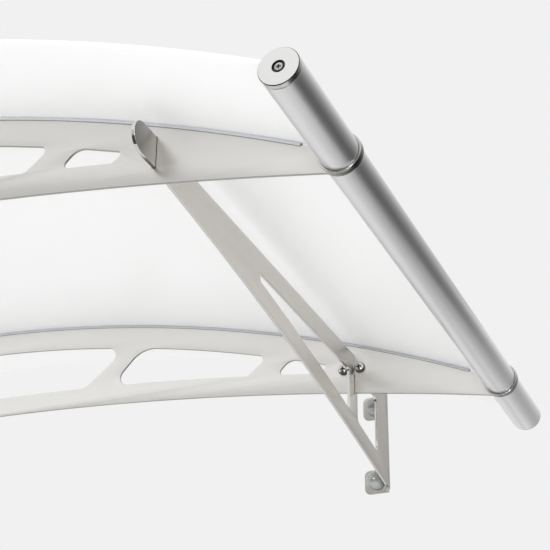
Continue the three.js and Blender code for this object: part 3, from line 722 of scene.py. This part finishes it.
def rib(y, offset=0.0):
    """Height of the bracket's lower edge at y, or of a line that runs at an offset above that edge."""
    return RIB_CENTRE[1] + np.sqrt((RIB_RADIUS + offset) ** 2 - (np.asarray(y, float) - RIB_CENTRE[0]) ** 2)


GAP_DROP = UNDER_ARM - GAP_TIP - RIB_CENTRE[1]
LONG_GAP_FRONT = RIB_CENTRE[0] + math.sqrt((RIB_RADIUS + RIB_WIDTH) ** 2 - GAP_DROP**2)


def bracket_gap(front, back, radius, steps):
    """Opening between the arm and the rib, from front to back."""
    ys = np.linspace(front, back, steps + 2)[1:-1]
    return rounded([(front, UNDER_ARM, radius), (front, float(rib(front, RIB_WIDTH)), radius),
                    *[(y, float(rib(y, RIB_WIDTH)), 0) for y in ys],
                    (back, float(rib(back, RIB_WIDTH)), radius), (back, UNDER_ARM, radius)], spacing=0.8)


def bracket_outline():
    """Arm's top with the lap slot, round nose, curved rib, foot and the leg's back edge."""
    nose = (ARM_TOP - NOSE_BOTTOM) / 2
    turn = np.linspace(math.pi / 2, 3 * math.pi / 2, 40)
    tip = np.c_[NOSE_TIP + nose + nose * np.cos(turn), NOSE_BOTTOM + nose + nose * np.sin(turn)]
    ys = np.linspace(RIB_START, 0, 90)
    lower = np.c_[ys, rib(ys)]
    lap0, lap1 = REAR_FACE - FIT, REAR_FACE + BEAM_THICKNESS + FIT
    lap = [[lap1, ARM_TOP], [lap1, LAP - FIT], [lap0, LAP - FIT], [lap0, ARM_TOP]]
    return np.vstack([[[0, ARM_TOP]], lap, tip, lower])


print("long opening starts", round(-LONG_GAP_FRONT), "mm from the wall")

# %% [markdown]
# Two tabs are folded from the leg and lie flat on the wall. A fold in 4 mm plate has a real bend, so the
# tab is a section with a quarter-turn in it, drawn out over the tab's height. The height shrinks towards
# the free end by the corner rounding, which makes the round corners.

# %% Folded tabs
TAB_LENGTH = 34.0
TAB_HEIGHT = 36.0
TAB_CORNER = 8.0
TAB_ROOT = 2.0  # straight piece before the bend, sunk in the leg
BEND_INSIDE = 1.0
BEND_OUTSIDE = BEND_INSIDE + PLATE


def tab_path():
    """Outer and inner line of the folded plate in (x, y), with the distance still to go to the free end."""
    turn = np.linspace(0, math.pi / 2, 12)
    centre = np.array([PLATE_OUTER - BEND_OUTSIDE, -BEND_OUTSIDE])
    unit = np.c_[np.cos(turn), np.sin(turn)]
    outer, inner = centre + BEND_OUTSIDE * unit, centre + BEND_INSIDE * unit
    free = PLATE_INNER - TAB_LENGTH
    corner_x = free + TAB_CORNER * (1 - np.sin(turn[1:]))
    flat_x = np.r_[np.linspace(centre[0], free + TAB_CORNER, 8)[1:], corner_x]
    root_y = -BEND_OUTSIDE - TAB_ROOT
    outer = np.vstack([[[PLATE_OUTER, root_y]], outer, np.c_[flat_x, np.zeros(len(flat_x))]])
    inner = np.vstack([[[PLATE_INNER, root_y]], inner, np.c_[flat_x, np.full(len(flat_x), -PLATE)]])
    left = np.clip(free + TAB_CORNER - outer[:, 0], 0, TAB_CORNER)
    half = TAB_HEIGHT / 2 - (TAB_CORNER - np.sqrt(TAB_CORNER**2 - left**2))
    return outer, inner, half


def folded_tab(level):
    """Grid of rings round the plate's section, one ring for each step along the folded line."""
    soft = 0.35
    rows = []
    for a, b, h in zip(*tab_path()):
        h = max(h, soft + 0.05)
        inward = (b - a) / np.linalg.norm(b - a)
        through, height = soft_box(0.0, PLATE, -h, h, soft).T
        rows.append(np.c_[a[0] + inward[0] * through, a[1] + inward[1] * through, level + height])
    return swept(rows)


def drilled(s, tool):
    """The shell with the tool's volume taken away by an exact Boolean."""
    objects = []
    for name, (points, faces, _) in (("body", s), ("drill", tool)):
        mesh = bpy.data.meshes.new(name)
        mesh.from_pydata(points.tolist(), [], faces)
        objects.append(new_object(name, mesh))
    body, drill = objects
    modifier = body.modifiers.new("hole", "BOOLEAN")
    modifier.object = drill
    modifier.solver = "EXACT"
    result = body.evaluated_get(bpy.context.evaluated_depsgraph_get()).to_mesh()
    points = np.empty(3 * len(result.vertices))
    result.vertices.foreach_get("co", points)
    faces = [list(polygon.vertices) for polygon in result.polygons]
    for obj in objects:
        mesh = obj.data
        bpy.data.objects.remove(obj)
        bpy.data.meshes.remove(mesh)
    return outward(shell(points, faces))


tab_steps = np.diff(tab_path()[0], axis=0)
print("length of a tab along its outside:", round(float(np.hypot(*tab_steps.T).sum()), 1), "mm")

# %% [markdown]
# The plate, its tabs and a small cleat behind the rear beam make up a bracket. They are welded, so they
# simply overlap here. The plate's cut edges catch the light and are polished.

# %% Brackets
BOLT_HOLE = 5.5
LONG_GAP_CORNER, LEG_GAP_CORNER = 5.0, 9.0
CLEAT_HALF, CLEAT_FOOT, CLEAT_TOP, CLEAT_THICKNESS, CLEAT_CORNER = 24, 33, 69, 4.0, 1.5


def bracket():
    """Right bracket: plate, two folded tabs and the cleat that takes the beam screws."""
    gaps = [bracket_gap(LONG_GAP_FRONT, STRIP_FRONT, LONG_GAP_CORNER, 40),
            bracket_gap(STRIP_BACK, -LEG_WIDTH, LEG_GAP_CORNER, 8)]
    plate = along_wall(cut_plate(bracket_outline(), gaps, PLATE), PLATE_INNER)
    drill = turned([(0, -PLATE - 3), (BOLT_HOLE, -PLATE - 3), (BOLT_HOLE, 3), (0, 3)], 64)
    tabs = [drilled(folded_tab(level), moved(drill, x=BOLT_X, z=level)) for level in TAB_LEVELS.values()]
    section = soft_box(PLATE_MIDDLE - CLEAT_HALF, PLATE_MIDDLE + CLEAT_HALF,
                       CLEAT_FOOT, CLEAT_TOP, CLEAT_CORNER)
    cleat_y = REAR_FACE + BEAM_THICKNESS + FIT
    cleat = swept(carried(section, (cleat_y, cleat_y + CLEAT_THICKNESS)))
    return joined(plate, *tabs, cleat), len(plate[1])


bracket_shell, plate_faces = bracket()
for side, s in both_sides(bracket_shell):
    obj = piece(f"wall_bracket_{side}", s, BRUSHED_BRACKET_PAINTED_REFLECTION, "brushed_steel", f"bracket_{side}")
    edges = ~np.array(s[2]) & (np.arange(len(s[1])) < plate_faces)
    add_finishes(obj, {POLISHED: edges})

# %% [markdown]
# ## The tubes and their ends
#
# A tube is open along a narrow slit, where the sheet goes in, so its section is a C and not a ring: an
# outer arc one way and an inner arc back. The front end is closed by a turned steel cap with a sunk
# screw, and the wall end by a plastic plug.

# %% Tubes
SLIT = (131.5, 148.4)  # degrees from +X
SOFT_LIP, TUBE_EASE, FLANGE = 0.4, 0.5, 2.0


def c_section(outer):
    """Closed C: points along the outer arc, then back along the bore, with a softened slit edge."""
    a0, a1 = math.radians(SLIT[1]), math.radians(SLIT[0] + 360)
    soft = SOFT_LIP / outer
    go, back = np.linspace(a0 + soft, a1 - soft, 88), np.linspace(a1, a0, 88)
    outer_arc = outer * np.c_[np.cos(go), np.sin(go)]
    inner_arc = BORE_RADIUS * np.c_[np.cos(back), np.sin(back)]
    lip = outer - SOFT_LIP
    ends = [[lip * math.cos(a), lip * math.sin(a)] for a in (a1, a0)]
    return np.vstack([outer_arc, [ends[0]], inner_arc, [ends[1]]])


front_end = carried(c_section(TUBE_RADIUS - TUBE_EASE), [-DEPTH])
length = carried(c_section(TUBE_RADIUS), (-DEPTH + TUBE_EASE, -FLANGE))
tube = moved(swept(front_end + length), x=HALF_SPAN)
for side, s in both_sides(tube):
    piece(f"round_tube_{side}", s, SATIN_TUBE, "satin_aluminium", f"side_tube_{side}")

# %% [markdown]
# The cap is one turned profile. Each step of it becomes one row of faces, so the polished band, the
# painted-shade lines beside it and the near-black painted shade in its sunk recess are picked by their
# place in the profile.

# %% Front caps and wall plugs
CAP_FRONT = -DEPTH - 6.3
SCREW_HOLE, SINK_RADIUS, SINK_DEPTH = 2.3, 6.6, 2.6
cap_profile = np.array([
    (SCREW_HOLE, -DEPTH), (TUBE_RADIUS - 0.6, -DEPTH), (TUBE_RADIUS, -DEPTH - 0.6),
    (TUBE_RADIUS, CAP_FRONT + 0.8), (TUBE_RADIUS - 0.8, CAP_FRONT), (SINK_RADIUS + 0.2, CAP_FRONT),
    (SINK_RADIUS, CAP_FRONT + 0.2), (SINK_RADIUS, CAP_FRONT + SINK_DEPTH),
    (SCREW_HOLE, CAP_FRONT + SINK_DEPTH),
])
# Painted shade: rows 1 and 3 are the chamfers' dark lines, rows 5 to 8 the near-black sunk recess and bore.
CAP_FINISHES = {DARK_LINE_PAINTED_SHADE: (1, 3), POLISHED: (2,), PAINTED_SHADE_BLACK: (5, 6, 7, 8)}
cap = moved(round_ring(cap_profile, steps=128), x=HALF_SPAN)
for side, s in both_sides(cap):
    obj = piece(f"steel_cap_{side}", s, BRUSHED_CAP, "brushed_steel", f"front_cap_{side}", sharp=20)
    row = np.arange(len(s[1])) % len(cap_profile)
    add_finishes(obj, {material: np.isin(row, places) for material, places in CAP_FINISHES.items()})

SPIGOT_WALL, SPIGOT_END, SPIGOT_GAP = 2.4, -14.0, (128.0, 150.5)
flange = turned([(0, 0), (TUBE_RADIUS - 0.3, 0), (TUBE_RADIUS, -0.3), (TUBE_RADIUS, -FLANGE), (0, -FLANGE)])
spigot_radius = BORE_RADIUS - FIT
spigot_section = soft_box(spigot_radius - SPIGOT_WALL, spigot_radius, SPIGOT_END, -FLANGE + 0.1, SOFT_LIP)
spigot = round_ring(spigot_section, SPIGOT_GAP[1], SPIGOT_GAP[0] + 360)
plug = moved(joined(flange, spigot), x=HALF_SPAN)
for side, s in both_sides(plug):
    piece(f"tube_plug_{side}", s, GREY_PLASTIC, "grey_plastic", f"wall_plug_{side}")

# %% [markdown]
# ## Screws, washers and covers
#
# A screw head is a height field over a disc: a dome, minus a cross with two straight arms. The points
# lie on rings, close together, so that the cross has straight walls. The cross and the rim lie in shade,
# so both get painted shade in a near-black tone.

# %% Screw heads with a cross recess
def cross_depth(x, y, reach, width, depth):
    """Depth of a cross recess: full inside either arm, easing to nothing over a third of its width."""
    soft = width * 0.35

    def arm(u, v):
        along = np.clip((reach - np.abs(u)) / soft, 0, 1)
        across = np.clip((width / 2 + soft / 2 - np.abs(v)) / soft, 0, 1)
        return along * across

    return depth * np.maximum(arm(x, y), arm(y, x))


def screw(radius, top, rim, dome, shank, tail, reach, width, depth):
    """Head as heights on rings, closed by its side, the shank and the end; and which faces get painted
    shade.
    """
    steps, rim_rings = 144, 6
    angle = np.linspace(0, 2 * math.pi, steps, endpoint=False)
    r = radius * np.r_[np.linspace(0.08, 0.86, 34), 0.9, 0.94, 0.97, 0.99, 1.0][:, None]
    x, z = r * np.cos(angle), r * np.sin(angle)
    crown = dome * np.sqrt(np.clip(1 - (r / (radius * 1.02)) ** 2, 0, 1))
    cross = cross_depth(x, z, reach, width, depth)
    head = grid_points(x, top + dome - crown + cross, z)
    side = np.array([(radius, top + dome + rim), (shank, top + dome + rim), (shank, tail)])
    lower = grid_points(side[:, :1] * np.cos(angle), side[:, 1:], side[:, :1] * np.sin(angle))
    s = between_poles(np.concatenate([head, lower]), top + depth, tail)
    # Painted shade: the deep part of the cross recess and the rim rings.
    dark = np.zeros(len(s[1]), bool)
    dark[:cross.size] = (cross > 0.4 * depth).ravel()
    dark[(len(r) - rim_rings) * steps:(len(r) + 1) * steps] = True
    return s, dark


def placed_screw(name, kind, node, x, z=0.0):
    """The screw on the right and its mirror image on the left, with painted shade on the recess and rim."""
    s, dark = kind
    for side, copy in both_sides(moved(s, x=x, z=z)):
        obj = piece(f"{name}_{side}", copy, POLISHED, "chrome", f"{node}_{side}")
        add_finishes(obj, {PAINTED_SHADE_BLACK: dark})


SCREW_PLACES = {"inner": -14.5, "outer": 10.5}
SCREW_LEVEL = 51.0
beam_screw = screw(radius=7.6, top=REAR_FACE - 5.4, rim=1.6, dome=3.8, shank=4.0, tail=REAR_FACE + 20,
                   reach=3.7, width=1.8, depth=2.6)
cap_screw = screw(radius=4.7, top=CAP_FRONT + 0.3, rim=2.0, dome=0.3, shank=2.0, tail=CAP_FRONT + 22.3,
                  reach=2.4, width=1.2, depth=1.6)
for end, dx in SCREW_PLACES.items():
    placed_screw(f"pan_screw_{end}", beam_screw, f"{end}_beam_screw", PLATE_MIDDLE + dx, SCREW_LEVEL)
placed_screw("sunk_screw", cap_screw, "cap_screw", HALF_SPAN)

# %% [markdown]
# Each tab is held by a nut on a washer, under a domed plastic cover. The cover is hollow, with room for
# the nut, and its profile is measured from the washer's face.

# %% Washers and nut covers
WASHER_RADIUS, WASHER_THICKNESS = 12.5, 2.0
COVER_RADIUS, COVER_HEIGHT, COVER_RIM = 13.2, 18.0, 2.4
NUT_ROOM_RADIUS, NUT_ROOM_HEIGHT = 9.6, 8.3
WASHER_FACE = -PLATE - WASHER_THICKNESS
washer = round_ring(soft_box(BOLT_HOLE, WASHER_RADIUS, WASHER_FACE, -PLATE, 0.4), steps=72)
turn = np.linspace(0, math.pi / 2, 16)[:-1]
dome = np.c_[(COVER_RADIUS - 0.5) * np.cos(turn), -COVER_RIM - (COVER_HEIGHT - COVER_RIM) * np.sin(turn)]
cover_profile = np.vstack([
    [(0, -NUT_ROOM_HEIGHT), (NUT_ROOM_RADIUS, -NUT_ROOM_HEIGHT), (NUT_ROOM_RADIUS, 0)],
    [(COVER_RADIUS - 0.3, 0), (COVER_RADIUS, -0.3), (COVER_RADIUS, -1.8), (COVER_RADIUS - 0.2, -2.1)],
    dome, [(0, -COVER_HEIGHT)],
]) + [0, WASHER_FACE]
cover = turned(cover_profile, 72)
for level, z in TAB_LEVELS.items():
    pairs = zip(both_sides(moved(washer, x=BOLT_X, z=z)), both_sides(moved(cover, x=BOLT_X, z=z)))
    for (side, one_washer), (_, one_cover) in pairs:
        piece(f"flat_washer_{level}_{side}", one_washer, POLISHED, "chrome", f"{level}_wall_washer_{side}")
        piece(f"domed_cover_{level}_{side}", one_cover, GREY_PLASTIC, "grey_plastic",
              f"{level}_nut_cover_{side}")

# %% [markdown]
# ## What stays from the CAD
#
# The nuts and the inserts inside the tubes are plain turned and hexagonal pieces, and the CAD already has
# their shape. They only get a finish.

# %% Finishes for the CAD's own pieces
KEPT = {"beam_nut": POLISHED, "wall_nut": POLISHED, "cap_insert": SATIN_TUBE}
for name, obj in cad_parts.items():
    for word, material in KEPT.items():
        if word in name and not obj.hide_render:
            for slot in obj.material_slots:
                slot.link = "OBJECT"
                slot.material = material
            print("finish for", name)

# %% [markdown]
# ## Camera, floor and light
#
# The picture is taken from below and to the right of the canopy, looking up at its right-hand end. The
# lens is long, so the lines stay nearly parallel.

# %% Camera
YAW, PITCH, ROLL = 0.41420248, 0.49001993, 0.01155028
EYE = Vector((1.3849, -1.8318, -0.755))
forward = Vector((-math.sin(YAW) * math.cos(PITCH), math.cos(YAW) * math.cos(PITCH), math.sin(PITCH)))
level_right = Vector((math.cos(YAW), math.sin(YAW), 0))
level_up = level_right.cross(forward)
right = math.cos(ROLL) * level_right + math.sin(ROLL) * level_up
up = -math.sin(ROLL) * level_right + math.cos(ROLL) * level_up
camera_data = bpy.data.cameras.new("camera")
camera_data.lens = 89.587
camera_data.sensor_width = 36.0
camera_data.clip_start = 0.01
camera_data.clip_end = 100.0
camera = new_object("camera", camera_data)
camera.matrix_world = Matrix.Translation(EYE) @ Matrix((right, up, -forward)).transposed().to_4x4()
bpy.context.scene.camera = camera
print("camera", [round(v, 3) for v in camera.matrix_world.translation])

# %% [markdown]
# The floor lies over two metres below, as under a real canopy. The world gives each kind of ray its own
# surroundings: the camera sees one plain pale tone, and matt surfaces are lit evenly from all round.
# Polished and satin metal show what surrounds them, and an evenly white room would make them look like
# plaster. So mirrored rays meet a room that gets darker towards four sides: behind the right-hand end,
# low down in front, in front on the right, and in front high up.

# %% Floor and world
FLOOR_X, FLOOR_Y, FLOOR_LEVEL = (-2.6, 2.6), (-2.0, 1.8), -2.3
floor_mesh = bpy.data.meshes.new("floor")
floor_mesh.from_pydata([(x, y, FLOOR_LEVEL) for y in FLOOR_Y for x in FLOOR_X], [], [(0, 1, 3, 2)])
floor = new_object("floor", floor_mesh)
floor_material, _, floor_shader = new_material("pale_floor")
floor_shader.inputs["Base Color"].default_value = (0.8, 0.8, 0.79, 1)
floor_shader.inputs["Roughness"].default_value = 0.9
floor_mesh.materials.append(floor_material)

world = bpy.data.worlds.new("studio")
bpy.context.scene.world = world
world.use_nodes = True
tree = world.node_tree
tree.nodes.clear()
direction = tree.nodes.new("ShaderNodeTexCoord").outputs["Generated"]
path = tree.nodes.new("ShaderNodeLightPath")
ROOM = 0.9  # brightness of the mirrored room away from its dark sides


def dark_side(towards, inner, outer, low):
    """Brightness low at a direction, up to ROOM where the cosine of the angle to it falls to outer."""
    dot = tree.nodes.new("ShaderNodeVectorMath")
    dot.operation = "DOT_PRODUCT"
    dot.inputs[1].default_value = Vector(towards).normalized()
    tree.links.new(direction, dot.inputs[0])
    return ranged(tree, dot.outputs["Value"], low, ROOM, inner, outer)


def least(a, b):
    """The smaller of two brightnesses."""
    node = tree.nodes.new("ShaderNodeMath")
    node.operation = "MINIMUM"
    tree.links.new(a, node.inputs[0])
    tree.links.new(b, node.inputs[1])
    return node.outputs["Value"]


def chosen_by(ray, otherwise, background):
    """Shows one background to a kind of ray, and another to all other rays."""
    node = tree.nodes.new("ShaderNodeMixShader")
    tree.links.new(path.outputs[ray], node.inputs["Fac"])
    tree.links.new(otherwise.outputs[0], node.inputs[1])
    tree.links.new(background.outputs[0], node.inputs[2])
    return node


behind = dark_side((0.62, 0.74, -0.27), inner=1.0, outer=0.45, low=0.03)
low_in_front = dark_side((-0.42, -0.7, -0.6), inner=0.9, outer=0.68, low=0.08)
right_in_front = dark_side((0.8, -0.5, -0.25), inner=0.95, outer=0.6, low=0.1)
high_in_front = dark_side((-0.36, -0.81, 0.47), inner=1.0, outer=0.76, low=0.74)
mirrored_room = tree.nodes.new("ShaderNodeBackground")
room = least(least(behind, low_in_front), least(high_in_front, right_in_front))
tree.links.new(room, mirrored_room.inputs["Strength"])
even_light = tree.nodes.new("ShaderNodeBackground")
even_light.inputs["Color"].default_value = (0.95, 0.95, 0.95, 1)
plain = tree.nodes.new("ShaderNodeBackground")
plain.inputs["Color"].default_value = (0.88, 0.88, 0.88, 1)
chooser = chosen_by("Is Camera Ray", chosen_by("Is Glossy Ray", even_light, mirrored_room), plain)
output = tree.nodes.new("ShaderNodeOutputWorld")
tree.links.new(chooser.outputs["Shader"], output.inputs["Surface"])
print("floor at", FLOOR_LEVEL, "m, world nodes:", len(tree.nodes))

# %% [markdown]
# Four weak lamps help the even light. A broad one above makes the sheet glow, and one below, which
# mirrored rays don't see, lifts its underside. A card by the wall draws the light line along the tube,
# and a small lamp in front gives the screws and rings their glint.

# %% Lamps
def soft_lamp(name, place, target, size, watts):
    """Area lamp at a place, facing a target; size is its width and height."""
    data = bpy.data.lights.new(name, "AREA")
    data.shape = "RECTANGLE"
    data.size, data.size_y = size
    data.energy = watts
    lamp = new_object(name, data)
    lamp.location = place
    lamp.rotation_mode = "QUATERNION"
    lamp.rotation_quaternion = (Vector(target) - Vector(place)).to_track_quat("-Z", "Y")
    lamp.visible_camera = False
    return lamp


soft_lamp("key", (0.9, -2.0, 3.0), (0.5, -0.4, 0.0), size=(3.0, 3.0), watts=6)
from_below = soft_lamp("from_below", (1.0, -0.4, -1.75), (0.9, -0.4, 0.1), size=(2.4, 2.4), watts=7)
from_below.visible_glossy = False
soft_lamp("card_by_the_wall", (1.14, 0.4, -0.05), (1.14, -0.5, -0.05), size=(0.52, 0.9), watts=0.45)
soft_lamp("glint", (1.08, -2.38, -0.05), (0.75, 0.0, 0.0), size=(0.3, 0.3), watts=5)
bpy.context.scene.view_settings.view_transform = "Standard"
print("lamps:", len(bpy.data.lights))
